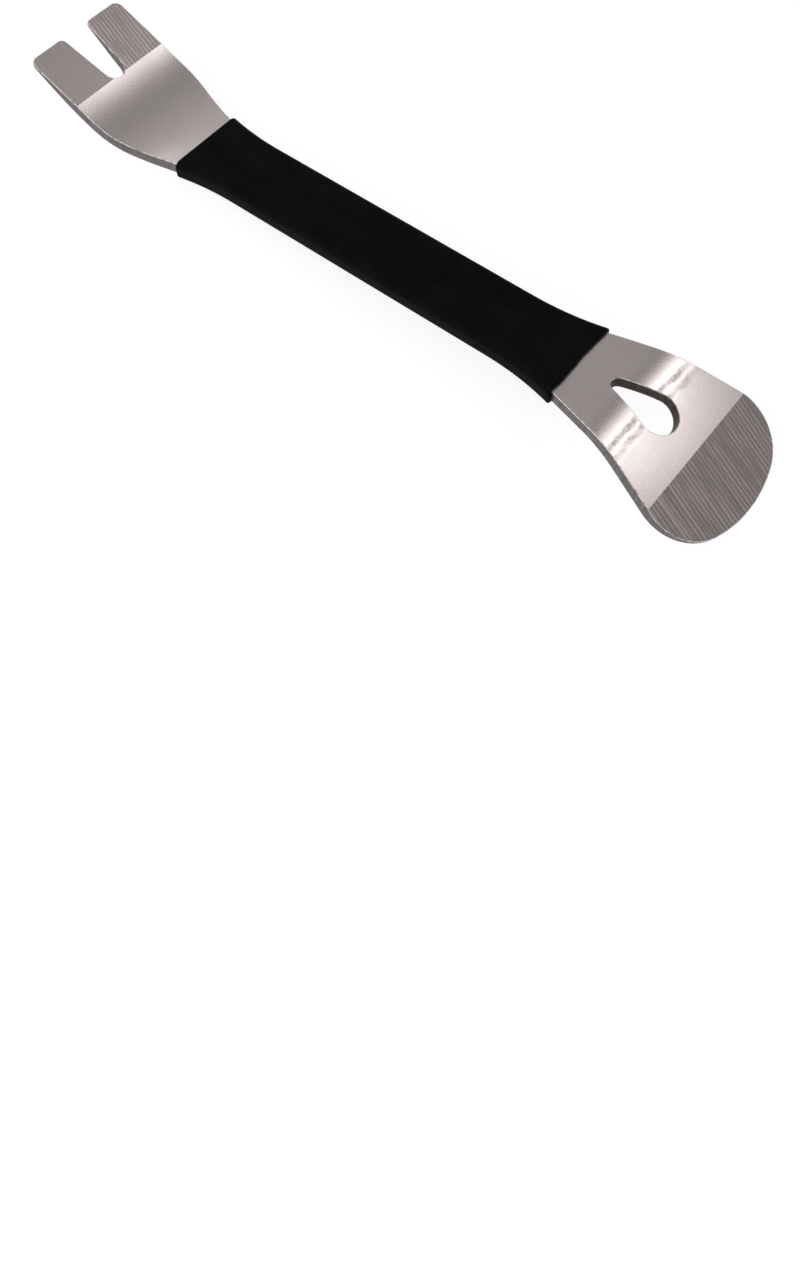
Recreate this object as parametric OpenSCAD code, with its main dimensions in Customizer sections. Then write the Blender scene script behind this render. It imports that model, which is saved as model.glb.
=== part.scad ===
// Trim removal tool: one bent steel bar with a notched fork at one end and a round-nosed spoon
// at the other, and a black shrink-tube grip over its middle. The tool lies with its ground faces up,
// on the spoon's edge and on the grip's edge at the fork end. X runs from fork to spoon, Z is up.

/* [Bar] */
// thickness of the steel plate
plate_t = 4; // [3:0.25:5]
// width of the bar under the middle of the grip
bar_w = 20.5; // [18:0.5:23]
// thickness left at the ground edges of fork and spoon
edge_t = 0.8; // [0.6:0.1:1.6]

/* [Fork] */
// distance from the middle of the grip to the start of the fork's bend
fork_bend_at = 73; // [72:1:80]
// radius of the fork's bend at mid-thickness
fork_bend_r = 78; // [60:1:100]
// angle of the fork's bend
fork_bend_deg = 34; // [26:0.5:40]
// length of the straight tine ends after the bend
tine_flat = 12; // [8:0.5:20]
// width over both tines
fork_w = 38; // [34:0.5:44]
// where the flare meets the fork's sides, from the start of the bend
fork_wide_at = 22; // [20:0.5:28]
// radius of the fork's round shoulders
fork_shoulder_r = 51; // [30:1:60]
// where the flare leaves the bar's straight sides, back from the start of the bend
fork_neck_back = 8; // [4:0.5:12]
// radius of the hollow neck on the fork side
fork_neck_r = 94; // [60:1:100]
// width of the notch at its round bottom
notch_w = 7.2; // [5:0.1:9]
// width of the notch at the tine ends
notch_mouth_w = 10.3; // [9:0.1:13]
// depth of the notch from the tine ends
notch_depth = 20.5; // [14:0.5:24]
// radius of the outer corners of the tines
tine_corner_r = 2.7; // [1:0.1:4]
// radius of the corners at the notch's mouth
mouth_corner_r = 1.9; // [1:0.1:3]
// length of the ground face on the tines
fork_grind = 20.3; // [16:0.1:24]

/* [Spoon] */
// distance from the middle of the grip to the start of the spoon's bend
spoon_bend_at = 85; // [80:1:92]
// radius of the spoon's bend at mid-thickness
spoon_bend_r = 33.5; // [25:0.5:45]
// angle of the spoon's bend
spoon_bend_deg = 23; // [16:0.5:30]
// length of the flat blade after the bend
spoon_flat = 35; // [31:0.5:39]
// slope of the spoon's sides to its middle line
spoon_side_deg = 15.7; // [12:0.1:18]
// where the flare leaves the bar's straight sides, back from the start of the bend
spoon_neck_back = 23; // [18:0.5:26]
// radius of the hollow neck on the spoon side
spoon_neck_r = 79.5; // [60:0.5:90]
// radius of the spoon's nose
spoon_nose_r = 40.7; // [36:0.1:50]
// radius of the spoon's round shoulders
spoon_shoulder_r = 16; // [12:0.5:18]
// length of the ground face on the spoon
spoon_grind = 21.8; // [16:0.1:25]

/* [Hole] */
// diameter of the round end of the teardrop hole
hole_big_d = 12.1; // [9:0.1:14]
// diameter of the narrow end of the teardrop hole
hole_small_d = 4.5; // [3:0.1:6]
// distance between the centres of the two ends
hole_span = 12.6; // [10:0.1:16]
// centre of the round end, from the start of the spoon's bend
hole_at = 12.4; // [10:0.1:15]

/* [Grip] */
// length of the grip
grip_len = 144; // [130:1:144]
// wall of the grip
grip_wall = 1.4; // [1:0.1:2]
// radius of the grip's long edges
grip_edge_r = 2; // [1:0.1:2.4]

/* [Hidden] */
$fn = 240;
// furthest that an arc's chords may lie inside it
arc_err = 0.015;
// cutting shapes reach this far, further than half the width of either end
reach = spoon_nose_r;
margin = 1;
// bends, necks and flares lap the straight runs by this depth, and bends and arcs lap their neighbours
// by this angle; the straight middle of the grip runs this far into its flares
lap = 0.005;
lap_deg = 1;
grip_lap = 2;
// half the turn of the rings that shape the grip's flared ends
ring_deg = 30;
half_t = plate_t / 2;
half_w = bar_w / 2;
neck_half_w = half_w - lap;

// fork: slope of its flare, its tip in side view, and its notch and ground face
fork_plane_deg = fork_bend_deg / 2;
fork_flare_deg = atan2(fork_w / 2 - neck_half_w, fork_wide_at + fork_neck_back);
fork_bend_end = bend_end(fork_bend_r, fork_bend_deg);
fork_tip = fork_bend_end + tine_flat * slope(fork_bend_deg);
fork_tip_u = fork_tip * slope(fork_plane_deg);
notch_r = notch_w / 2;
notch_at = fork_tip_u - notch_depth + notch_r;
notch_deg = asin((notch_mouth_w - notch_w) / 2 / (notch_depth - notch_r));
fork_inner_r = fork_bend_r - half_t;
fork_grind_start = tine_flat - fork_grind;
fork_grind_rise = neck_rise(min(fork_grind_start, 0), fork_inner_r);

// spoon: its tip in side view, and its nose and shoulder circles in the blade's own plane
spoon_bend_end = bend_end(spoon_bend_r, spoon_bend_deg);
spoon_tip = spoon_bend_end + spoon_flat * slope(spoon_bend_deg);
nose = [spoon_tip * slope(spoon_bend_deg) - spoon_nose_r, 0];
side_start = [-spoon_neck_back, neck_half_w];
shoulder_from = side_start - spoon_shoulder_r * slope(spoon_side_deg + 90) - nose;
shoulder_along = shoulder_from * slope(spoon_side_deg);
shoulder_gap = pow(spoon_nose_r - spoon_shoulder_r, 2) - shoulder_from * shoulder_from;
shoulder_run = sqrt(pow(shoulder_along, 2) + shoulder_gap) - shoulder_along;
shoulder = nose + shoulder_from + shoulder_run * slope(spoon_side_deg);
nose_deg = atan2(shoulder[1], shoulder[0] - nose[0]);

// grip: where its flares start, and how far they rise to clear the bar's necks
grip_half = grip_len / 2;
grip_t = plate_t + 2 * grip_wall;
grip_half_w = half_w + grip_wall;
fork_neck_run = fork_neck_back + fork_neck_r * tan(fork_flare_deg / 2);
spoon_neck_run = spoon_neck_back + spoon_neck_r * tan(spoon_side_deg / 2);
fork_flare_at = fork_bend_at - fork_neck_run / cos(fork_plane_deg);
spoon_flare_at = spoon_bend_at - spoon_neck_run / cos(spoon_bend_deg);
fork_grip_rise = neck_rise((grip_half - fork_flare_at) * cos(fork_plane_deg), fork_neck_r);
spoon_grip_rise = neck_rise((grip_half - spoon_flare_at) * cos(spoon_bend_deg), spoon_neck_r);

// rest: the spoon's lower edge and the grip's lower edge at the fork end both touch the floor
fork_normal = slope(90 - fork_bend_deg);
spoon_normal = slope(90 - spoon_bend_deg);
fork_end = [-fork_bend_at - fork_tip[0], fork_tip[1]];
spoon_end = [spoon_bend_at + spoon_tip[0], -spoon_tip[1]];
rest_spoon = spoon_end - half_t * spoon_normal;
rest_grip = [-grip_half, -grip_t / 2];
rest_deg = atan2(rest_grip[1] - rest_spoon[1], rest_spoon[0] - rest_grip[0]);
left_x = (fork_end - half_t * fork_normal) * slope(-rest_deg);
right_x = (spoon_end + (edge_t - half_t) * spoon_normal) * slope(-rest_deg);
floor_z = rest_grip * slope(90 - rest_deg);

// unit step at an angle from the first axis
function slope(deg) = [cos(deg), sin(deg)];

// end of a bend that starts at the origin and turns upwards
function bend_end(r, deg) = r * [sin(deg), 1 - cos(deg)];

// rise of a hollow neck of radius r over a run along the bar
function neck_rise(run, r) = r - sqrt(r * r - run * run);

// points on an arc, close enough that its chords keep to arc_err
function arc(centre, r, from, to) =
    let (steps = ceil(abs(to - from) / (2 * acos(1 - arc_err / r))))
    [for (i = [0 : steps]) centre + r * slope(from + (to - from) * i / steps)];

// arc of radius r that rounds the corner between two edges that leave it at two angles
function fillet(corner, deg_a, deg_b, r) =
    let (half = (deg_b - deg_a) / 2, turn = sign(half))
    arc(corner + r / sin(abs(half)) * slope(deg_a + half), r, deg_a - 90 * turn, deg_b - 270 * turn);

// the mirror image of an edge, run backwards
function reflected(edge) = [for (i = [len(edge) - 1 : -1 : 0]) [edge[i][0], -edge[i][1]]];

// corner piece that a fillet takes off
module corner_waste(corner, deg_a, deg_b, r) {
    polygon(concat(fillet(corner, deg_a, deg_b, r), [corner - margin * slope((deg_a + deg_b) / 2)]));
}

// one end of the bar as a wide strip, from where its flare starts to its tip, bent upwards;
// the bend laps the straight runs by a hair, so that the three are one piece
module bent_strip(flare_at, bend_at, bend_r, bend_deg, flat) {
    end = bend_end(bend_r, bend_deg);
    sink = lap * slope(bend_deg / 2 - 90);
    translate([flare_at - margin, -reach, -half_t]) cube([bend_at - flare_at + margin, 2 * reach, plate_t]);
    translate([bend_at + sink[0], 0, bend_r + sink[1]]) rotate([90, 0, 0])
        rotate_extrude(angle = bend_deg + 2 * lap_deg, start = 270 - lap_deg)
            translate([bend_r - half_t, -reach]) square([plate_t, 2 * reach]);
    translate([bend_at + end[0], 0, end[1]]) rotate([0, -bend_deg, 0])
        translate([0, -reach, -half_t]) cube([flat, 2 * reach, plate_t]);
}

// a flat shape cut square through the plane that leaves the bend's start at a slope
module cut_in_plane(bend_at, deg) {
    translate([bend_at, 0, 0]) rotate([0, -deg, 0]) linear_extrude(2 * reach, center = true) children();
}

// a shape drawn in side view on the flat after the bend, as wide as the strip
module cut_across(bend_at, end, deg) {
    translate([bend_at + end[0], 0, end[1]]) rotate([0, -deg, 0]) rotate([90, 0, 0])
        linear_extrude(2 * reach, center = true) children();
}

// straight middle of the bar, under the grip
module shank() {
    translate([-fork_flare_at - margin, -half_w, -half_t])
        cube([fork_flare_at + spoon_flare_at + 2 * margin, bar_w, plate_t]);
}

// fork outline, seen square to the middle of its bend
module fork_outline() {
    edge = concat(
        [[-fork_bend_at, neck_half_w]],
        fillet([-fork_neck_back, neck_half_w], 180, fork_flare_deg, fork_neck_r),
        fillet([fork_wide_at, fork_w / 2], 180 + fork_flare_deg, 360, fork_shoulder_r),
        [[fork_tip_u + reach, fork_w / 2]]
    );
    polygon(concat(edge, reflected(edge)));
}

// fork end of the bar before the notch is cut, its tip towards +X and bent upwards
module fork_blank() {
    intersection() {
        bent_strip(fork_flare_at, fork_bend_at, fork_bend_r, fork_bend_deg, tine_flat);
        cut_in_plane(fork_bend_at, fork_plane_deg) fork_outline();
    }
}

// tapered notch with a round bottom
module notch_shape() {
    far = notch_depth + reach;
    mouth = notch_r / cos(notch_deg) + far * tan(notch_deg);
    translate([notch_at, 0]) polygon(concat(
        arc([0, 0], notch_r, 90 + notch_deg, 270 - notch_deg),
        [[far, -mouth], [far, mouth]]
    ));
}

// round corners of the tines, cut square to the tine ends
module tine_corners() {
    translate([fork_bend_end[0], 0, fork_bend_end[1]]) cut_in_plane(fork_bend_at, fork_bend_deg)
        for (side = [0, 1]) mirror([0, side]) {
            corner_waste([tine_flat, fork_w / 2], 180, 270, tine_corner_r);
            corner_waste([tine_flat, notch_mouth_w / 2], 90, 180 + notch_deg, mouth_corner_r);
        }
}

// ground face on the hollow side of the tines
module fork_ground() {
    start = [fork_grind_start, half_t + fork_grind_rise];
    end = [tine_flat, edge_t - half_t];
    past = end + (end - start) / fork_grind;
    cut_across(fork_bend_at, fork_bend_end, fork_bend_deg)
        polygon([start, past, past + [0, reach], start + [0, reach]]);
}

module fork() {
    difference() {
        fork_blank();
        cut_in_plane(fork_bend_at, fork_plane_deg) notch_shape();
        tine_corners();
        fork_ground();
    }
}

// spoon outline in the plane of its blade
module spoon_outline() {
    edge = concat(
        [[-spoon_bend_at, neck_half_w]],
        fillet(side_start, 180, spoon_side_deg, spoon_neck_r),
        arc(shoulder, spoon_shoulder_r, spoon_side_deg + 90, nose_deg + lap_deg)
    );
    polygon(concat(edge, arc(nose, spoon_nose_r, nose_deg, -nose_deg), reflected(edge)));
}

// spoon end of the bar before the hole is cut, its tip towards +X and bent upwards
module spoon_blank() {
    intersection() {
        bent_strip(spoon_flare_at, spoon_bend_at, spoon_bend_r, spoon_bend_deg, spoon_flat + margin);
        cut_in_plane(spoon_bend_at, spoon_bend_deg) spoon_outline();
    }
}

// teardrop hole, its narrow end towards the grip
module teardrop_shape() {
    touch_deg = 180 - acos((hole_big_d - hole_small_d) / 2 / hole_span);
    translate([hole_at, 0]) polygon(concat(
        arc([0, 0], hole_big_d / 2, -touch_deg, touch_deg),
        arc([-hole_span, 0], hole_small_d / 2, touch_deg, 360 - touch_deg)
    ));
}

// ground face on the round side of the spoon's bend
module spoon_ground() {
    start = [spoon_flat - spoon_grind, -half_t];
    end = [spoon_flat, half_t - edge_t];
    past = end + (end - start) / spoon_grind;
    cut_across(spoon_bend_at, spoon_bend_end, spoon_bend_deg)
        polygon([start, past, past - [0, reach], start - [0, reach]]);
}

module spoon() {
    difference() {
        spoon_blank();
        cut_in_plane(spoon_bend_at, spoon_bend_deg / 2) teardrop_shape();
        spoon_ground();
    }
}

// the fork goes to -X and bends up, the spoon goes to +X and bends down
module fork_side() {
    mirror([1, 0, 0]) children();
}

module spoon_side() {
    mirror([0, 0, 1]) children();
}

// straight middle of the grip, with its long edges rounded
module grip_middle() {
    corner = [grip_half_w, grip_t / 2];
    translate([-fork_flare_at - grip_lap, 0, 0]) rotate([90, 0, 90])
        linear_extrude(fork_flare_at + spoon_flare_at + 2 * grip_lap) polygon(concat(
            fillet([corner[0], corner[1]], 180, 270, grip_edge_r),
            fillet([corner[0], -corner[1]], 90, 180, grip_edge_r),
            fillet([-corner[0], -corner[1]], 0, 90, grip_edge_r),
            fillet([-corner[0], corner[1]], -90, 0, grip_edge_r)
        ));
}

// solid ring whose rounded inner rim follows one side of a flared grip end
module neck_ring(start, neck_r) {
    far = neck_r + reach;
    translate([start, grip_half_w - lap + neck_r, 0])
        rotate_extrude(angle = 2 * ring_deg, start = 270 - ring_deg)
            polygon(concat(
                [[far, grip_t / 2]],
                fillet([neck_r, grip_t / 2], 360, 270, grip_edge_r),
                fillet([neck_r, -grip_t / 2], 90, 0, grip_edge_r),
                [[far, -grip_t / 2]]
            ));
}

// flared end of the grip, the common part of the rings on both its sides
module grip_flare(start, rise) {
    run = grip_half - start;
    neck_r = (run * run + rise * rise) / (2 * rise);
    intersection() {
        translate([start, -reach, -grip_t]) cube([run, 2 * reach, 2 * grip_t]);
        neck_ring(start, neck_r);
        mirror([0, 1, 0]) neck_ring(start, neck_r);
    }
}

// turns the tool from its own middle line to the way it lies on the floor
module at_rest() {
    translate([-(left_x + right_x) / 2, 0, -floor_z]) rotate([0, -rest_deg, 0]) children();
}

module steel_bar() {
    color([0.72, 0.69, 0.69]) at_rest() {
        shank();
        fork_side() fork();
        spoon_side() spoon();
    }
}

module grip_sleeve() {
    color([0.06, 0.06, 0.06]) at_rest() difference() {
        union() {
            grip_middle();
            fork_side() grip_flare(fork_flare_at, fork_grip_rise);
            grip_flare(spoon_flare_at, spoon_grip_rise);
        }
        shank();
        fork_side() fork_blank();
        spoon_side() spoon_blank();
    }
}

steel_bar();
grip_sleeve();
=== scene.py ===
"""Trim removal tool: a bent steel bar with a notched fork and a round-nosed spoon, and a black grip."""

import math

import bmesh
import bpy
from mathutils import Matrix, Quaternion, Vector


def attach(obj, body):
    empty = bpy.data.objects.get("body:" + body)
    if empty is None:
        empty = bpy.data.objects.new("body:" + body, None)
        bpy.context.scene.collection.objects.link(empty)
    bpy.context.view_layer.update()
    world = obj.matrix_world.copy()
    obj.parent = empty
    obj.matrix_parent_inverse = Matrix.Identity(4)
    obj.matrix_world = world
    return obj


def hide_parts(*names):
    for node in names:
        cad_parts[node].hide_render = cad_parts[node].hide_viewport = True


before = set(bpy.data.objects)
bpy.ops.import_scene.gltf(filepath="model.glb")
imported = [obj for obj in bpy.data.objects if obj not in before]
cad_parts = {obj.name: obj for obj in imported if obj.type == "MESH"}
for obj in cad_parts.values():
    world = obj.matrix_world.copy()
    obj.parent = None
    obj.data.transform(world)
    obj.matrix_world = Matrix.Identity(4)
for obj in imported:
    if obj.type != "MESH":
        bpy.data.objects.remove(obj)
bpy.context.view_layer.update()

# Steel bar. The real one is blanked from 4 mm plate with its notch and its teardrop hole, bent twice, the
# fork up and the spoon down, and ground thin at both ends on the same side. It is left bare and satin.
# Here the flat blank is drawn along X, cut across at the bends, bent about Y, ground, and laid down last.

MM = 0.001
PLATE_T = 4 * MM
HALF_T = PLATE_T / 2
HALF_W = 10.25 * MM
EDGE_T = 0.8 * MM
EDGE_ROUND = 0.22 * MM
EDGE_ROUND_STEPS = 3
SHARP_ANGLE = math.radians(40)

FORK_AT = 73 * MM
FORK_R = 78 * MM
FORK_TURN = math.radians(34)
TINE_FLAT = 12 * MM
FORK_HALF_W = 19 * MM
FORK_WIDE_AT = 22 * MM
FORK_SHOULDER_R = 51 * MM
FORK_NECK_BACK = 8 * MM
FORK_NECK_R = 94 * MM
FORK_SIDE = math.atan2(FORK_HALF_W - HALF_W, FORK_WIDE_AT + FORK_NECK_BACK)
FORK_NECK_RUN = FORK_NECK_BACK + FORK_NECK_R * math.tan(FORK_SIDE / 2)
NOTCH_R = 3.6 * MM
NOTCH_MOUTH_HALF = 5.15 * MM
NOTCH_DEPTH = 20.5 * MM
TINE_CORNER_R = 2.7 * MM
MOUTH_CORNER_R = 1.9 * MM
FORK_GRIND = 20.3 * MM

SPOON_AT = 85 * MM
SPOON_R = 33.5 * MM
SPOON_TURN = math.radians(23)
SPOON_FLAT = 35 * MM
SPOON_SIDE = math.radians(15.7)
SPOON_NECK_BACK = 23 * MM
SPOON_NECK_R = 79.5 * MM
SPOON_NECK_RUN = SPOON_NECK_BACK + SPOON_NECK_R * math.tan(SPOON_SIDE / 2)
SPOON_NOSE_R = 40.7 * MM
SPOON_SHOULDER_R = 16 * MM
SPOON_GRIND = 21.8 * MM

HOLE_BIG_R = 6.05 * MM
HOLE_SMALL_R = 2.25 * MM
HOLE_SPAN = 12.6 * MM
HOLE_AT = 12.4 * MM
HOLE_MIDDLE = SPOON_AT + HOLE_AT - HOLE_SPAN / 2
HOLE_REACH = HOLE_SPAN + HOLE_BIG_R

# The points of the blank's edge lie about so far apart.
FLANK_STEP = 2 * MM
CURVE_STEP = 1.5 * MM
NOSE_STEP = 0.8 * MM
SHOULDER_STEP = 0.6 * MM
NOTCH_STEP = 0.5 * MM
HOLE_END_STEP = 0.4 * MM
CORNER_STEP = 0.3 * MM

CUT_ERR = 0.005 * MM
WELD = 0.02 * MM
UPRIGHT = 0.5
WALL_SLOT, HOLE_SLOT, GROUND_SLOT, RIM_SLOT = range(1, 5)


def unfolded(u, plane, radius, turn):
    """Distance along the flat blank of a point drawn in a plane that leaves the bend's start at a slope."""
    if u <= 0:
        return u / math.cos(plane)
    u_end = radius * (math.sin(turn - plane) + math.sin(plane))
    if u < u_end:
        return radius * (plane + math.asin(u / radius - math.sin(plane)))
    return radius * turn + (u - u_end) / math.cos(turn - plane)


def arc(centre, radius, start, end, step):
    """Points on an arc in the plane of the blank, about a step apart."""
    count = max(2, math.ceil(abs(end - start) * radius / step))
    angles = [start + (end - start) * i / count for i in range(count + 1)]
    return [(centre[0] + radius * math.cos(a), centre[1] + radius * math.sin(a)) for a in angles]


def line(start, end, step):
    """Points inside a straight edge, about a step apart."""
    count = max(1, math.ceil(math.dist(start, end) / step))
    return [
        (start[0] + (end[0] - start[0]) * i / count, start[1] + (end[1] - start[1]) * i / count)
        for i in range(1, count)
    ]


def neck(run, radius, side):
    """The hollow neck between the bar's straight side and a flank, before the start of the bend."""
    return arc((-run, HALF_W + radius), radius, -math.pi / 2, side - math.pi / 2, CURVE_STEP)


def fork_edge():
    """One edge of the fork, from the bar's straight side to the notch, as (distance, half width)."""
    plane = FORK_TURN / 2
    tip = FORK_R * FORK_TURN + TINE_FLAT
    tip_u = FORK_R * 2 * math.sin(plane) + TINE_FLAT * math.cos(plane)
    hollow = neck(FORK_NECK_RUN, FORK_NECK_R, FORK_SIDE)
    shoulder = arc(
        (FORK_WIDE_AT + FORK_SHOULDER_R * math.tan(FORK_SIDE / 2), FORK_HALF_W - FORK_SHOULDER_R),
        FORK_SHOULDER_R,
        FORK_SIDE + math.pi / 2,
        math.pi / 2,
        CURVE_STEP,
    )
    sides = hollow + line(hollow[-1], shoulder[0], FLANK_STEP) + shoulder
    edge = [(unfolded(u, plane, FORK_R, FORK_TURN), y) for u, y in sides]
    corner_middle = (tip - TINE_CORNER_R, FORK_HALF_W - TINE_CORNER_R)
    edge += arc(corner_middle, TINE_CORNER_R, math.pi / 2, 0, CORNER_STEP)
    notch_at = tip_u - NOTCH_DEPTH + NOTCH_R
    taper = math.asin((NOTCH_MOUTH_HALF - NOTCH_R) / (NOTCH_DEPTH - NOTCH_R))
    corner_half = (math.pi / 2 + taper) / 2
    mouth_middle = (
        tip - MOUTH_CORNER_R,
        NOTCH_MOUTH_HALF + MOUTH_CORNER_R * math.tan(math.pi / 2 - corner_half),
    )
    mouth = arc(mouth_middle, MOUTH_CORNER_R, 0, taper - math.pi / 2, CORNER_STEP)
    bottom = arc((notch_at, 0), NOTCH_R, math.pi / 2 + taper, math.pi, NOTCH_STEP)
    bottom = [(unfolded(u, plane, FORK_R, FORK_TURN), y) for u, y in bottom]
    return edge + mouth + line(mouth[-1], bottom[0], CURVE_STEP) + bottom


def spoon_edge():
    """One edge of the spoon, from the bar's straight side to its nose, as (distance, half width)."""
    tip_u = SPOON_R * math.sin(SPOON_TURN) + SPOON_FLAT
    nose = tip_u - SPOON_NOSE_R
    side = (math.cos(SPOON_SIDE), math.sin(SPOON_SIDE))
    start = (
        -SPOON_NECK_BACK + SPOON_SHOULDER_R * side[1] - nose,
        HALF_W - SPOON_SHOULDER_R * side[0],
    )
    along = start[0] * side[0] + start[1] * side[1]
    gap = (SPOON_NOSE_R - SPOON_SHOULDER_R) ** 2 - start[0] ** 2 - start[1] ** 2
    run = math.sqrt(along ** 2 + gap) - along
    shoulder = (nose + start[0] + run * side[0], start[1] + run * side[1])
    nose_angle = math.atan2(shoulder[1], shoulder[0] - nose)
    hollow = neck(SPOON_NECK_RUN, SPOON_NECK_R, SPOON_SIDE)
    round_side = arc(shoulder, SPOON_SHOULDER_R, SPOON_SIDE + math.pi / 2, nose_angle, SHOULDER_STEP)
    round_nose = arc((nose, 0), SPOON_NOSE_R, nose_angle, 0, NOSE_STEP)
    edge = hollow + line(hollow[-1], round_side[0], FLANK_STEP) + round_side + round_nose[1:]
    return [(unfolded(u, SPOON_TURN, SPOON_R, SPOON_TURN), y) for u, y in edge]


def hole_edge():
    """One side of the teardrop hole, from its round end to its narrow one, as (distance, half width)."""
    touch = math.pi - math.acos((HOLE_BIG_R - HOLE_SMALL_R) / HOLE_SPAN)
    big = arc((HOLE_AT, 0), HOLE_BIG_R, 0, touch, SHOULDER_STEP)
    small = arc((HOLE_AT - HOLE_SPAN, 0), HOLE_SMALL_R, touch, math.pi, HOLE_END_STEP)
    edge = big + line(big[-1], small[0], CURVE_STEP) + small
    return [(unfolded(u, SPOON_TURN / 2, SPOON_R, SPOON_TURN), y) for u, y in edge]


def select(obj, test):
    """Selects the vertices of the mesh in edit mode that pass a test of their place."""
    mesh = bmesh.from_edit_mesh(obj.data)
    for vert in mesh.verts:
        vert.select_set(test(vert.co))
    mesh.select_flush_mode()
    bmesh.update_edit_mesh(obj.data)


def paint_selected(obj, slot):
    """Gives the selected faces a material slot."""
    mesh = bmesh.from_edit_mesh(obj.data)
    for face in mesh.faces:
        if face.select:
            face.material_index = slot
    bmesh.update_edit_mesh(obj.data)


def bend_end(obj, side, bend_at, radius, turn):
    """Bends one end of the blank about Y, a degree at a cut: side is -1 for the fork and 1 for the spoon."""
    steps = round(math.degrees(turn))
    pitch = radius * turn / steps
    for i in range(steps + 1):
        bpy.ops.mesh.select_all(action="SELECT")
        bpy.ops.mesh.bisect(
            plane_co=(side * (bend_at + i * pitch), 0, 0), plane_no=(1, 0, 0), threshold=CUT_ERR
        )
    for i in reversed(range(steps)):
        at = bend_at + (i + 0.5) * pitch
        select(obj, lambda place: side * place.x > at)
        bpy.ops.transform.rotate(
            value=-turn / steps, orient_axis="Y", center_override=(side * at, 0, 0)
        )


def grind(obj, region, start, end):
    """Takes the metal off one end above the plane through two points of its side view."""
    select(obj, region)
    up = math.copysign(1 / math.dist(start, end), end[0] - start[0])
    bpy.ops.mesh.bisect(
        plane_co=(start[0], 0, start[1]),
        plane_no=(up * (start[1] - end[1]), 0, up * (end[0] - start[0])),
        use_fill=True,
        clear_outer=True,
        threshold=CUT_ERR,
    )
    paint_selected(obj, GROUND_SLOT)
    bpy.ops.mesh.region_to_loop()
    bpy.ops.mesh.mark_sharp()


bpy.ops.object.select_all(action="DESELECT")
half_blank = [(-FORK_AT - d, y) for d, y in reversed(fork_edge())]
half_blank += [(SPOON_AT + d, y) for d, y in spoon_edge()]
half_blank += [(SPOON_AT + d, y) for d, y in hole_edge()]
bpy.ops.mesh.primitive_circle_add(vertices=len(half_blank), radius=FORK_AT, fill_type="NGON")
bar = bpy.context.object
bar.name = "bent_bar"
for vert, place in zip(bar.data.vertices, half_blank):
    vert.co = (place[0], place[1], HALF_T)
bpy.ops.object.modifier_add(type="MIRROR")
other_half = bar.modifiers[-1]
other_half.use_axis = (False, True, False)
other_half.merge_threshold = CUT_ERR
bpy.ops.object.modifier_apply(modifier=other_half.name)

bpy.ops.object.mode_set(mode="EDIT")
bpy.ops.mesh.select_all(action="SELECT")
bpy.ops.mesh.extrude_region_move(TRANSFORM_OT_translate={"value": (0, 0, -PLATE_T)})
bpy.ops.mesh.select_all(action="SELECT")
bpy.ops.mesh.normals_make_consistent(inside=False)
mesh = bmesh.from_edit_mesh(bar.data)
for face in mesh.faces:
    if abs(face.normal.z) < UPRIGHT:
        middle = face.calc_center_median()
        in_hole = abs(middle.y) < HOLE_BIG_R and abs(middle.x - HOLE_MIDDLE) < HOLE_REACH
        face.material_index = HOLE_SLOT if in_hole else WALL_SLOT
bmesh.update_edit_mesh(bar.data)

bend_end(bar, -1, FORK_AT, FORK_R, FORK_TURN)
bend_end(bar, 1, SPOON_AT, SPOON_R, SPOON_TURN)
bpy.ops.mesh.select_all(action="SELECT")
bpy.ops.mesh.remove_doubles(threshold=WELD)

fork_end = (
    -FORK_AT - FORK_R * math.sin(FORK_TURN),
    FORK_R * (1 - math.cos(FORK_TURN)),
)
spoon_end = (
    SPOON_AT + SPOON_R * math.sin(SPOON_TURN),
    -SPOON_R * (1 - math.cos(SPOON_TURN)),
)


def on_fork(along, above):
    """A point of the fork's side view, measured from the end of its bend along and above the tines."""
    return (
        fork_end[0] - along * math.cos(FORK_TURN) + above * math.sin(FORK_TURN),
        fork_end[1] + along * math.sin(FORK_TURN) + above * math.cos(FORK_TURN),
    )


def on_spoon(along, above):
    """A point of the spoon's side view, measured from the end of its bend along and above the blade."""
    return (
        spoon_end[0] + along * math.cos(SPOON_TURN) + above * math.sin(SPOON_TURN),
        spoon_end[1] - along * math.sin(SPOON_TURN) + above * math.cos(SPOON_TURN),
    )


# Each cut reaches only so far back: behind the ground face on the fork, and into the bend on the spoon.
FORK_GRIND_BACK = 4 * MM
SPOON_GRIND_BACK = 1.5 * MM

fork_inner_r = FORK_R - HALF_T
ground_back = FORK_GRIND - TINE_FLAT
ground_rise = fork_inner_r - math.sqrt(fork_inner_r ** 2 - ground_back ** 2)
fork_limit = on_fork(-ground_back - FORK_GRIND_BACK, 0)[0]
grind(
    bar,
    lambda place: place.x < fork_limit,
    on_fork(-ground_back, HALF_T + ground_rise),
    on_fork(TINE_FLAT, EDGE_T - HALF_T),
)
spoon_limit = on_spoon(-SPOON_GRIND_BACK, 0)[0]
grind(
    bar,
    lambda place: place.x > spoon_limit,
    on_spoon(SPOON_FLAT - SPOON_GRIND, HALF_T),
    on_spoon(SPOON_FLAT, EDGE_T - HALF_T),
)

# The tool lies on the spoon's lower edge and on the grip's lower edge at the fork end.
GRIP_HALF = 72 * MM
GRIP_WALL = 1.4 * MM

grip_foot = (-GRIP_HALF, -HALF_T - GRIP_WALL)
spoon_foot = on_spoon(SPOON_FLAT, -HALF_T)
rest_tilt = math.atan2(grip_foot[1] - spoon_foot[1], spoon_foot[0] - grip_foot[0])


def tilted(point):
    """A point of the bar's side view, tilted as the tool lies."""
    return (
        point[0] * math.cos(rest_tilt) - point[1] * math.sin(rest_tilt),
        point[0] * math.sin(rest_tilt) + point[1] * math.cos(rest_tilt),
    )


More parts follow.
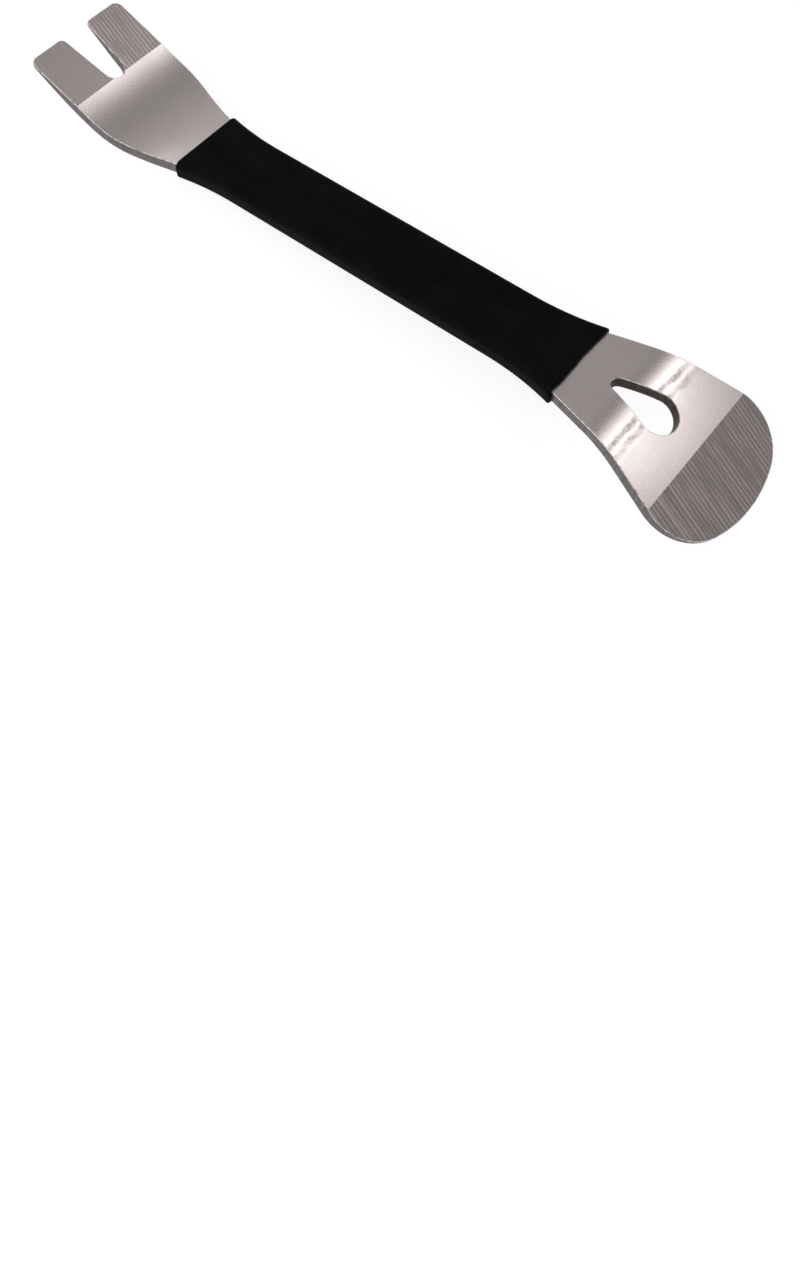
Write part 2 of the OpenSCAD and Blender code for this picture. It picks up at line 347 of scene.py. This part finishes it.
fork_tip_x = tilted(on_fork(TINE_FLAT, -HALF_T))[0]
spoon_tip_x = tilted(on_spoon(SPOON_FLAT, EDGE_T - HALF_T))[0]
rest_shift = (-(fork_tip_x + spoon_tip_x) / 2, 0, -tilted(grip_foot)[1])


def lay_down():
    """Takes the mesh in edit mode from the straight bar's frame to where the tool lies."""
    bpy.ops.mesh.select_all(action="SELECT")
    bpy.ops.transform.rotate(value=rest_tilt, orient_axis="Y", center_override=(0, 0, 0))
    bpy.ops.transform.translate(value=rest_shift)


lay_down()
bpy.ops.object.mode_set(mode="OBJECT")


class Finish:
    """A metal or rubber finish, built up from procedural textures laid in the tool's own space."""

    COLOUR_A, COLOUR_B, COLOUR_OUT = 6, 7, 2

    def __init__(self, name, metallic, roughness):
        self.material = bpy.data.materials.new(name)
        self.material.use_nodes = True
        self.nodes = self.material.node_tree.nodes
        self.links = self.material.node_tree.links
        self.shader = self.nodes["Principled BSDF"]
        self.shader.inputs["Metallic"].default_value = metallic
        self.shader.inputs["Roughness"].default_value = roughness
        self.place = self.nodes.new("ShaderNodeTexCoord").outputs["Object"]

    def stretched(self, scale):
        """The tool's own space, stretched: a small number along an axis draws the texture out along it."""
        mapping = self.nodes.new("ShaderNodeMapping")
        mapping.inputs["Scale"].default_value = scale
        self.links.new(self.place, mapping.inputs["Vector"])
        return mapping.outputs["Vector"]

    def turn(self, angle):
        """Turns all textures laid after this one about the upright axis."""
        mapping = self.nodes.new("ShaderNodeMapping")
        mapping.inputs["Rotation"].default_value = (0, 0, angle)
        self.links.new(self.place, mapping.inputs["Vector"])
        self.place = mapping.outputs["Vector"]

    def axis(self, name):
        """The place along one axis, in metres."""
        parts = self.nodes.new("ShaderNodeSeparateXYZ")
        self.links.new(self.place, parts.inputs["Vector"])
        return parts.outputs[name]

    def noise(self, cells, detail, rough=0.55):
        """Noise with so many cells to the metre along each axis."""
        texture = self.nodes.new("ShaderNodeTexNoise")
        texture.inputs["Scale"].default_value = 1
        texture.inputs["Detail"].default_value = detail
        texture.inputs["Roughness"].default_value = rough
        self.links.new(self.stretched(cells), texture.inputs["Vector"])
        return texture.outputs["Fac"]

    def ramp(self, value, low, high, to_low, to_high, smooth=False):
        """A value moved from one range to another, and held inside it."""
        node = self.nodes.new("ShaderNodeMapRange")
        node.interpolation_type = "SMOOTHSTEP" if smooth else "LINEAR"
        for name, number in (("From Min", low), ("From Max", high), ("To Min", to_low), ("To Max", to_high)):
            node.inputs[name].default_value = number
        self.links.new(value, node.inputs["Value"])
        return node.outputs["Result"]

    def combine(self, operation, first, second):
        """Two values, or a value and a number, put together."""
        node = self.nodes.new("ShaderNodeMath")
        node.operation = operation
        for socket, part in zip(node.inputs, (first, second)):
            if isinstance(part, (int, float)):
                socket.default_value = part
            else:
                self.links.new(part, socket)
        return node.outputs["Value"]

    def weighed(self, *parts):
        """Values added up, each with its weight."""
        total = None
        for value, weight in parts:
            share = self.combine("MULTIPLY", value, weight)
            total = share if total is None else self.combine("ADD", total, share)
        return total

    def colour(self, value, dark, light):
        """Gives the surface a colour between two, by a value from 0 to 1."""
        node = self.nodes.new("ShaderNodeMix")
        node.data_type = "RGBA"
        node.inputs[self.COLOUR_A].default_value = (*dark, 1)
        node.inputs[self.COLOUR_B].default_value = (*light, 1)
        self.links.new(value, node.inputs["Factor"])
        self.links.new(node.outputs[self.COLOUR_OUT], self.shader.inputs["Base Color"])

    def roughness(self, value):
        """Gives the surface a roughness that varies."""
        self.links.new(value, self.shader.inputs["Roughness"])

    def bump(self, height, depth, strength):
        """Raises the surface by a height between 0 and 1, depth metres tall."""
        node = self.nodes.new("ShaderNodeBump")
        node.inputs["Strength"].default_value = strength
        node.inputs["Distance"].default_value = depth
        self.links.new(height, node.inputs["Height"])
        for link in self.shader.inputs["Normal"].links:
            self.links.new(link.from_socket, node.inputs["Normal"])
        self.links.new(node.outputs["Normal"], self.shader.inputs["Normal"])


# Satin faces, with a fine grain and two marks that the press left across the top of the spoon's bend. The
# marks are dents in bump and a little matt, and their colour is darkened too, which is painted shade for the
# dark lines across the bend's bright reflection.
PLATE_DARK = (0.24, 0.21, 0.21)
PLATE_LIGHT = (0.84, 0.745, 0.74)
PRESS_MARKS = ((93.2 * MM, 1), (95.9 * MM, 0.9))
PRESS_MARK_CORE = 0.1 * MM
PRESS_MARK_EDGE = 1.4 * MM
PRESS_MARK_WANDER = 0.6 * MM
PRESS_MARK_PAINTED_SHADE = 0.42
PRESS_MARK_MATT = 0.25
BEND_MIDDLE_Z = 13.4 * MM

satin = Finish("satin_plate", 1, 0.27)
grain = satin.noise((5200, 5200, 5200), 2)
brushed = satin.noise((300, 4200, 4200), 2)
clouds = satin.noise((55, 75, 75), 3)
tone = satin.weighed((grain, 0.35), (brushed, 0.2), (clouds, 0.45))
wander = satin.ramp(satin.noise((30, 110, 30), 3), 0.3, 0.7, -PRESS_MARK_WANDER, PRESS_MARK_WANDER)
speckle = satin.ramp(satin.noise((1300, 1300, 1300), 2), 0.35, 0.6, 0.45, 1)
patches = satin.ramp(satin.noise((200, 140, 200), 2), 0.35, 0.65, 0.35, 1)
mottle = satin.combine("MULTIPLY", speckle, patches)
press_marks_and_shade = None
for at, strength in PRESS_MARKS:
    off = satin.combine("ADD", satin.combine("SUBTRACT", satin.axis("X"), at), wander)
    off = satin.combine("ABSOLUTE", off, 0)
    press_mark_and_shade = satin.ramp(off, PRESS_MARK_CORE, PRESS_MARK_EDGE, strength, 0, smooth=True)
    press_mark_and_shade = satin.combine("MULTIPLY", press_mark_and_shade, mottle)
    press_marks_and_shade = press_mark_and_shade if press_marks_and_shade is None else satin.combine("MAXIMUM", press_marks_and_shade, press_mark_and_shade)
on_top = satin.combine("GREATER_THAN", satin.axis("Z"), BEND_MIDDLE_Z)
press_marks_and_shade = satin.combine("MULTIPLY", press_marks_and_shade, on_top)
bright = satin.ramp(tone, 0.3, 0.7, 0.76, 1)
# The press marks darken the colour here: painted shade for the dark lines in the bend's bright reflection.
bright = satin.combine("SUBTRACT", bright, satin.combine("MULTIPLY", press_marks_and_shade, PRESS_MARK_PAINTED_SHADE))
satin.colour(bright, PLATE_DARK, PLATE_LIGHT)
matt = satin.combine("MULTIPLY", press_marks_and_shade, PRESS_MARK_MATT)
satin.roughness(satin.combine("ADD", satin.ramp(tone, 0.3, 0.7, 0.31, 0.24), matt))
satin.bump(satin.combine("ADD", grain, brushed), 0.006 * MM, 0.09)
satin.bump(press_marks_and_shade, 0.015 * MM, 1)

# Sheared outer walls, dull and speckled. Their colour is darker than the plate's, partly painted shade on
# the upright walls.
WALL_SHADED_DARK = (0.098, 0.086, 0.086)
WALL_SHADED_LIGHT = (0.23, 0.205, 0.205)

cut = Finish("cut_wall", 1, 0.48)
speckle = cut.noise((3200, 3200, 3200), 3, 0.7)
shear = cut.noise((1500, 1500, 120), 2)
tone = cut.weighed((speckle, 0.6), (shear, 0.4))
# The wall colour is kept dark, partly as painted shade.
cut.colour(cut.ramp(tone, 0.35, 0.65, 0, 1), WALL_SHADED_DARK, WALL_SHADED_LIGHT)
cut.roughness(cut.ramp(tone, 0.35, 0.65, 0.55, 0.4))
cut.bump(tone, 0.04 * MM, 0.5)

# The punched wall of the hole, with a brown cast. Its near-black colour is painted shade inside the hole.
HOLE_WALL_SHADE_DARK = (0.02, 0.014, 0.013)
HOLE_WALL_SHADE_LIGHT = (0.075, 0.055, 0.05)

punched = Finish("punched_wall", 1, 0.5)
speckle = punched.noise((2600, 2600, 500), 3)
# Painted shade: the hole's wall is coloured near black.
punched.colour(punched.ramp(speckle, 0.35, 0.65, 0, 1), HOLE_WALL_SHADE_DARK, HOLE_WALL_SHADE_LIGHT)
punched.bump(speckle, 0.03 * MM, 0.4)

# Ground faces, with the wheel's lines at a slant along the tool. They are faint on the tine at negative Y.
GROUND_DARK = (0.25, 0.215, 0.212)
GROUND_LIGHT = (0.74, 0.645, 0.64)
GROUND_LINE_PITCH = 1.3 * MM
GROUND_LINE_SLANT = math.radians(9.8)
GROUND_LINE_MEAN = 0.47
FAINT_TINE = 0.22
CLEAR_TINE = 0.85
TINE_INNER_Y = 4 * MM
BAR_MIDDLE = 10 * MM
WAVE_LENGTH = math.pi / 10

ground = Finish("ground_face", 1, 0.36)
tine_side = ground.ramp(ground.axis("Y"), -TINE_INNER_Y, TINE_INNER_Y, FAINT_TINE, CLEAR_TINE)
spoon_side = ground.ramp(ground.axis("X"), -BAR_MIDDLE, BAR_MIDDLE, 0, 1)
clear = ground.combine("MAXIMUM", tine_side, spoon_side)
ground.turn(GROUND_LINE_SLANT)
wheel = ground.nodes.new("ShaderNodeTexWave")
wheel.bands_direction = "Y"
wheel.inputs["Scale"].default_value = WAVE_LENGTH / GROUND_LINE_PITCH
wheel.inputs["Distortion"].default_value = 2
wheel.inputs["Detail"].default_value = 2
wheel.inputs["Detail Scale"].default_value = 0.5
ground.links.new(ground.stretched((0.15, 1, 0.15)), wheel.inputs["Vector"])
strong = ground.ramp(ground.noise((75, 330, 75), 2), 0.35, 0.65, 0.15, 1)
lines = ground.combine("MULTIPLY", ground.ramp(wheel.outputs["Fac"], 0.4, 1, 0, 1), strong)
fine = ground.noise((70, 2600, 70), 2, 0.7)
scratches = ground.ramp(ground.noise((14, 620, 14), 1), 0.66, 0.74, 0, 1)
streaks = ground.weighed((lines, 0.5), (fine, 0.75), (scratches, 0.4))
streaks = ground.combine("MULTIPLY", ground.combine("SUBTRACT", streaks, GROUND_LINE_MEAN), clear)
grain = ground.noise((4200, 4200, 4200), 2)
tone = ground.combine("ADD", streaks, ground.combine("MULTIPLY", grain, 0.3))
ground.colour(ground.ramp(tone, -0.15, 0.45, 0, 1), GROUND_DARK, GROUND_LIGHT)
ground.roughness(ground.ramp(tone, -0.15, 0.45, 0.45, 0.34))
ground.bump(tone, 0.05 * MM, 0.3)

# Rounded rims, rubbed bright and nicked.
RIM_DARK = (0.32, 0.29, 0.29)
RIM_LIGHT = (0.9, 0.81, 0.81)

rim = Finish("bright_rim", 1, 0.3)
nicks = rim.noise((900, 900, 900), 3)
rim.colour(rim.ramp(nicks, 0.35, 0.65, 0, 1), RIM_DARK, RIM_LIGHT)
rim.roughness(rim.ramp(nicks, 0.35, 0.65, 0.42, 0.28))
rim.bump(nicks, 0.02 * MM, 0.3)

for finish in (satin, cut, punched, ground, rim):
    bar.data.materials.append(finish.material)

bpy.ops.object.modifier_add(type="BEVEL")
rounding = bar.modifiers[-1]
rounding.width = EDGE_ROUND
rounding.segments = EDGE_ROUND_STEPS
rounding.limit_method = "ANGLE"
rounding.angle_limit = SHARP_ANGLE
rounding.use_clamp_overlap = False
rounding.material = RIM_SLOT
bpy.ops.object.modifier_apply(modifier=rounding.name)
bpy.ops.object.shade_smooth_by_angle(angle=SHARP_ANGLE, keep_sharp_edges=True)
bpy.ops.object.modifier_add(type="WEIGHTED_NORMAL")
even = bar.modifiers[-1]
even.keep_sharp = True
bpy.ops.object.modifier_apply(modifier=even.name)
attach(bar, "root")
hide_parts("steel_bar")

# Grip sleeve. The real one is a length of black shrink tube, pushed over the bar and shrunk on with hot air:
# it holds by its own squeeze, widens with the bar's necks, and is cut off by hand at both ends.

GRIP_HALF_W = HALF_W + GRIP_WALL
GRIP_HALF_T = HALF_T + GRIP_WALL
GRIP_EDGE_R = 2 * MM
BORE_SIDE_GAP = 0.02 * MM
BORE_FACE_GAP = 0.01 * MM
BORE_HALF_W = HALF_W + BORE_SIDE_GAP
BORE_HALF_T = HALF_T + BORE_FACE_GAP
LIP = 0.5 * MM
LIP_ANGLES = (0.4, 0.8, 1.2, math.pi / 2)
GRIP_STATIONS = 72
GRIP_FACE_STEP = 1.6 * MM
GRIP_SMOOTH_ANGLE = math.radians(50)
FORK_FLARE_AT = FORK_AT - FORK_NECK_RUN / math.cos(FORK_TURN / 2)
SPOON_FLARE_AT = SPOON_AT - SPOON_NECK_RUN / math.cos(SPOON_TURN)

# The spoon end is cut a little short and wavy, and the tube is drawn with it from this far out.
CUT_FROM = 40 * MM
CUT_SHORT = 0.25 * MM
CUT_SWING = 0.17 * MM
CUT_SWING_RATE = 0.32 / MM
CUT_SWING_START = 0.6
CUT_RIPPLE = 0.06 * MM
CUT_RIPPLE_RATE = 0.9 / MM


def flare(x):
    """How far the bar's necks push the sleeve out to each side, at a distance from the middle."""
    plane = FORK_TURN / 2 if x < 0 else SPOON_TURN
    neck_r = FORK_NECK_R if x < 0 else SPOON_NECK_R
    start = FORK_FLARE_AT if x < 0 else SPOON_FLARE_AT
    run = max(0, (abs(x) - start) * math.cos(plane))
    return neck_r - math.sqrt(neck_r ** 2 - run ** 2)


def outer_ring(x, inset):
    """A ring of the sleeve's outside, as its place, half width and half thickness."""
    return (x, GRIP_HALF_W + flare(x) - inset, GRIP_HALF_T - inset)


def bore_ring(x):
    """A ring of the sleeve's bore, as its place, half width and half thickness."""
    return (x, BORE_HALF_W + flare(x), BORE_HALF_T)


def cut_off(y):
    """How far the hand-cut spoon end of the sleeve falls short of its length."""
    swing = CUT_SWING * math.sin(y * CUT_SWING_RATE + CUT_SWING_START)
    ripple = CUT_RIPPLE * math.sin(y * CUT_RIPPLE_RATE)
    return CUT_SHORT + swing + ripple


corner_y = GRIP_HALF_W - GRIP_EDGE_R
corner_z = GRIP_HALF_T - GRIP_EDGE_R
section = []
for turn in range(4):
    side_y = 1 if turn in (0, 3) else -1
    side_z = 1 if turn in (0, 1) else -1
    corner = arc(
        (side_y * corner_y, side_z * corner_z),
        GRIP_EDGE_R,
        turn * math.pi / 2,
        (turn + 1) * math.pi / 2,
        CORNER_STEP,
    )
    section += corner
    if turn in (0, 2):
        section += line(corner[-1], (-corner[-1][0], corner[-1][1]), GRIP_FACE_STEP)

bpy.ops.object.select_all(action="DESELECT")
bpy.ops.mesh.primitive_circle_add(vertices=len(section), radius=GRIP_HALF_W)
sleeve = bpy.context.object
sleeve.name = "shrink_sleeve"
for vert, place in zip(sleeve.data.vertices, section):
    vert.co = (-GRIP_HALF, place[0], place[1])

inside = GRIP_HALF - LIP
lip = [(-GRIP_HALF + LIP * (1 - math.cos(a)), LIP * (1 - math.sin(a))) for a in LIP_ANGLES]
body = [(-inside + 2 * inside * i / GRIP_STATIONS, 0) for i in range(1, GRIP_STATIONS + 1)]
far_lip = [(-x, inset) for x, inset in reversed(lip[:-1])]
rings = [outer_ring(x, inset) for x, inset in lip + body + far_lip]
rings.append(outer_ring(GRIP_HALF, LIP))
rings += [bore_ring(GRIP_HALF * (1 - 2 * i / GRIP_STATIONS)) for i in range(GRIP_STATIONS + 1)]

bpy.ops.object.mode_set(mode="EDIT")
bpy.ops.mesh.select_all(action="SELECT")
before = outer_ring(-GRIP_HALF, LIP)
bpy.ops.transform.resize(
    value=(1, before[1] / GRIP_HALF_W, before[2] / GRIP_HALF_T), center_override=(before[0], 0, 0)
)
for ring in rings:
    bpy.ops.mesh.extrude_region_move(TRANSFORM_OT_translate={"value": (ring[0] - before[0], 0, 0)})
    bpy.ops.transform.resize(
        value=(1, ring[1] / before[1], ring[2] / before[2]), center_override=(ring[0], 0, 0)
    )
    before = ring
bpy.ops.mesh.select_non_manifold()
bpy.ops.mesh.bridge_edge_loops()
bpy.ops.mesh.select_all(action="SELECT")
bpy.ops.mesh.normals_make_consistent(inside=False)
bpy.ops.object.mode_set(mode="OBJECT")
for vert in sleeve.data.vertices:
    near_end = min(1, max(0, (vert.co.x - CUT_FROM) / (GRIP_HALF - CUT_FROM)))
    vert.co.x -= near_end * cut_off(vert.co.y)
bpy.ops.object.mode_set(mode="EDIT")
lay_down()
bpy.ops.object.mode_set(mode="OBJECT")

# Black rubber, nearly matt, with fine pores and a little dust.
RUBBER_DARK = (0.0032, 0.0028, 0.0032)
RUBBER_LIGHT = (0.0066, 0.0058, 0.0064)

rubber = Finish("black_rubber", 0, 0.6)
rubber.shader.inputs["Specular IOR Level"].default_value = 0.035
pores = rubber.noise((1600, 1600, 1600), 3)
dust = rubber.noise((70, 120, 120), 3)
rubber.colour(rubber.ramp(dust, 0.35, 0.7, 0, 1), RUBBER_DARK, RUBBER_LIGHT)
rubber.roughness(rubber.ramp(pores, 0.3, 0.7, 0.66, 0.5))
rubber.bump(pores, 0.06 * MM, 0.35)
sleeve.data.materials.append(rubber.material)
bpy.ops.object.shade_smooth_by_angle(angle=GRIP_SMOOTH_ANGLE)
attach(sleeve, "root")
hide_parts("grip_sleeve")

# Floor. A wide sheet of white paper under the tool. It keeps the tool's soft shadow, and it is lifted to
# white where it is seen, a little more towards its edges, so that it runs into the white behind it.

FLOOR_SIZE = 6
FLOOR_GREY = (0.23, 0.23, 0.23, 1)
FLOOR_NEAR = 0.4
FLOOR_FAR = 2.4
FLOOR_NEAR_LIFT = 0.865
FLOOR_FAR_LIFT = 0.96

bpy.ops.object.select_all(action="DESELECT")
bpy.ops.mesh.primitive_plane_add(size=FLOOR_SIZE)
floor = bpy.context.object
floor.name = "white_floor"
paper = Finish("white_paper", 0, 0.9)
paper.shader.inputs["Base Color"].default_value = FLOOR_GREY
paper.shader.inputs["Specular IOR Level"].default_value = 0.1
paper.shader.inputs["Emission Color"].default_value = (1, 1, 1, 1)
ray = paper.nodes.new("ShaderNodeLightPath")
seen = paper.combine("MAXIMUM", ray.outputs["Is Camera Ray"], ray.outputs["Is Glossy Ray"])
from_tool = paper.nodes.new("ShaderNodeVectorMath")
from_tool.operation = "LENGTH"
paper.links.new(paper.place, from_tool.inputs["Vector"])
lift = paper.ramp(from_tool.outputs["Value"], FLOOR_NEAR, FLOOR_FAR, FLOOR_NEAR_LIFT, FLOOR_FAR_LIFT)
lift = paper.combine("MULTIPLY", seen, lift)
paper.links.new(lift, paper.shader.inputs["Emission Strength"])
floor.data.materials.append(paper.material)

# Light. An even room, brighter towards the fork and near the floor. A soft box above and behind, which the
# fork and the spoon's bend mirror, two broad soft lights from the front left and from above, and a small
# card by each end, which lights the fork's corner at the grip and the near half of the spoon's blade.

ROOM_STOPS = ((0.17, 0.49), (0.33, 0.36), (0.4, 0.18), (0.72, 0.2), (0.85, 0.32))
LOW_WALL = 0.7
LOW_WALL_TOP = (0.1, 0.45)
NUMBER_A, NUMBER_B, NUMBER_OUT = 2, 3, 0

world = bpy.data.worlds.new("room")
bpy.context.scene.world = world
world.use_nodes = True
nodes = world.node_tree.nodes
links = world.node_tree.links
room = nodes["Background"]
room.inputs["Color"].default_value = (1, 1, 1, 1)
direction = nodes.new("ShaderNodeTexCoord")
parts = nodes.new("ShaderNodeSeparateXYZ")
links.new(direction.outputs["Generated"], parts.inputs["Vector"])
across = nodes.new("ShaderNodeMapRange")
across.inputs["From Min"].default_value = -1
links.new(parts.outputs["X"], across.inputs["Value"])
sweep = nodes.new("ShaderNodeValToRGB")
sweep.color_ramp.elements.remove(sweep.color_ramp.elements[0])
for spot, level in ROOM_STOPS:
    stop = sweep.color_ramp.elements.new(spot)
    stop.color = (level, level, level, 1)
sweep.color_ramp.elements.remove(sweep.color_ramp.elements[-1])
links.new(across.outputs["Result"], sweep.inputs["Fac"])
low = nodes.new("ShaderNodeMapRange")
low.interpolation_type = "SMOOTHSTEP"
low.inputs["From Min"].default_value = LOW_WALL_TOP[0]
low.inputs["From Max"].default_value = LOW_WALL_TOP[1]
low.inputs["To Min"].default_value = 1
low.inputs["To Max"].default_value = 0
links.new(parts.outputs["Z"], low.inputs["Value"])
walls = nodes.new("ShaderNodeMix")
links.new(low.outputs["Result"], walls.inputs["Factor"])
links.new(sweep.outputs["Color"], walls.inputs[NUMBER_A])
walls.inputs[NUMBER_B].default_value = LOW_WALL
ray = nodes.new("ShaderNodeLightPath")
seen = nodes.new("ShaderNodeMix")
links.new(ray.outputs["Is Camera Ray"], seen.inputs["Factor"])
links.new(walls.outputs[NUMBER_OUT], seen.inputs[NUMBER_A])
seen.inputs[NUMBER_B].default_value = 1
links.new(seen.outputs[NUMBER_OUT], room.inputs["Strength"])


def soft_light(name, place, aim, size, power, roll=0):
    """A rectangular soft light at a place, turned towards a point and rolled about its own axis."""
    lamp = bpy.data.lights.new(name, "AREA")
    lamp.shape = "RECTANGLE"
    lamp.size, lamp.size_y = size
    lamp.energy = power
    holder = bpy.data.objects.new(name, lamp)
    holder.location = place
    facing = (Vector(place) - Vector(aim)).to_track_quat("Z", "Y")
    holder.rotation_euler = (facing @ Quaternion((0, 0, 1), roll)).to_euler()
    bpy.context.collection.objects.link(holder)


TOOL_MIDDLE = (0, 0, 0)
FORK_CORNER = (-0.085, -0.008, 0.012)
BLADE_START = (0.096, -0.009, 0.016)
BLADE_CARD_ROLL = math.radians(-138)

soft_light("soft_box", (0.55, 1.46, 2.5), TOOL_MIDDLE, (1.1, 0.92), 7.5)
soft_light("front_light", (-0.5, -1.2, 0.94), TOOL_MIDDLE, (2.2, 1.4), 10)
soft_light("top_light", (0, -0.5, 2.5), TOOL_MIDDLE, (1.9, 1.9), 8)
soft_light("small_card", (-0.23, 0.085, 0.175), FORK_CORNER, (0.03, 0.03), 0.003)
soft_light("blade_card", (0.154, 0.075, 0.138), BLADE_START, (0.016, 0.044), 0.0048, BLADE_CARD_ROLL)

# Camera. It looks down at the tool from its long side, with the fork far to the left and the spoon near on
# the right, and its frame is shifted so that the tool lies in the upper part, over plain white paper.

CAMERA_AT = (0.160681, -0.201303, 0.315710)
CAMERA_TURN = (31.82822624, -1.41285526, 39.15515204)
CAMERA_LENS = 38.005
CAMERA_SENSOR = 36
CAMERA_SHIFT = -0.14976
CAMERA_NEAR = 0.01

bpy.ops.object.camera_add(location=CAMERA_AT)
camera = bpy.context.object
camera.rotation_euler = [math.radians(angle) for angle in CAMERA_TURN]
camera.data.lens = CAMERA_LENS
camera.data.sensor_width = CAMERA_SENSOR
camera.data.shift_y = CAMERA_SHIFT
camera.data.clip_start = CAMERA_NEAR
bpy.context.scene.camera = camera
bpy.context.scene.view_settings.view_transform = "Standard"
